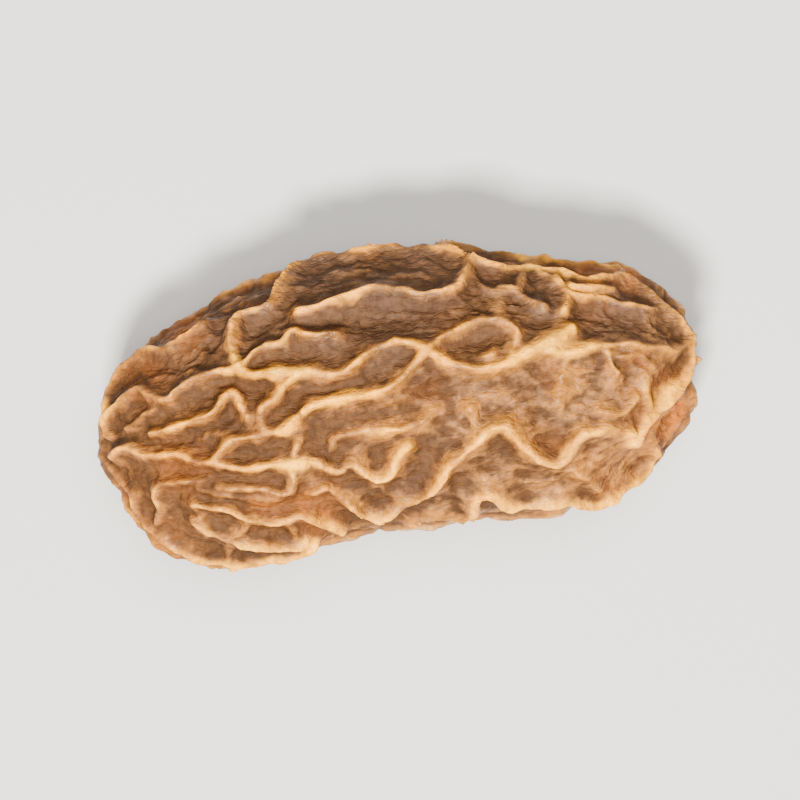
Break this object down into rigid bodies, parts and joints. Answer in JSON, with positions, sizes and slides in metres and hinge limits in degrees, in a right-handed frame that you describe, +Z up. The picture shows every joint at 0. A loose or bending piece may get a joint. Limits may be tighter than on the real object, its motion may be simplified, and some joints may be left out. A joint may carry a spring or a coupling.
{
  "type": "dried date",
  "caption": "Dried date lying on its side: an oblong fruit with raised wrinkle folds all over, a round stem scar at one end and a small flat spot underneath.",
  "frame": {"origin": "on the surface that the date lies on, under its middle", "axes": "+X towards the stem end, +Y across to the shoulder side, +Z up"},
  "size_m": [0.0368, 0.0188, 0.0156],
  "materials": {
    "skin": "dry wrinkled skin, cream-tan crests and mauve-brown hollows, satin"
  },
  "bodies": {
    "root": {"date": "skin"}
  },
  "joints": []
}
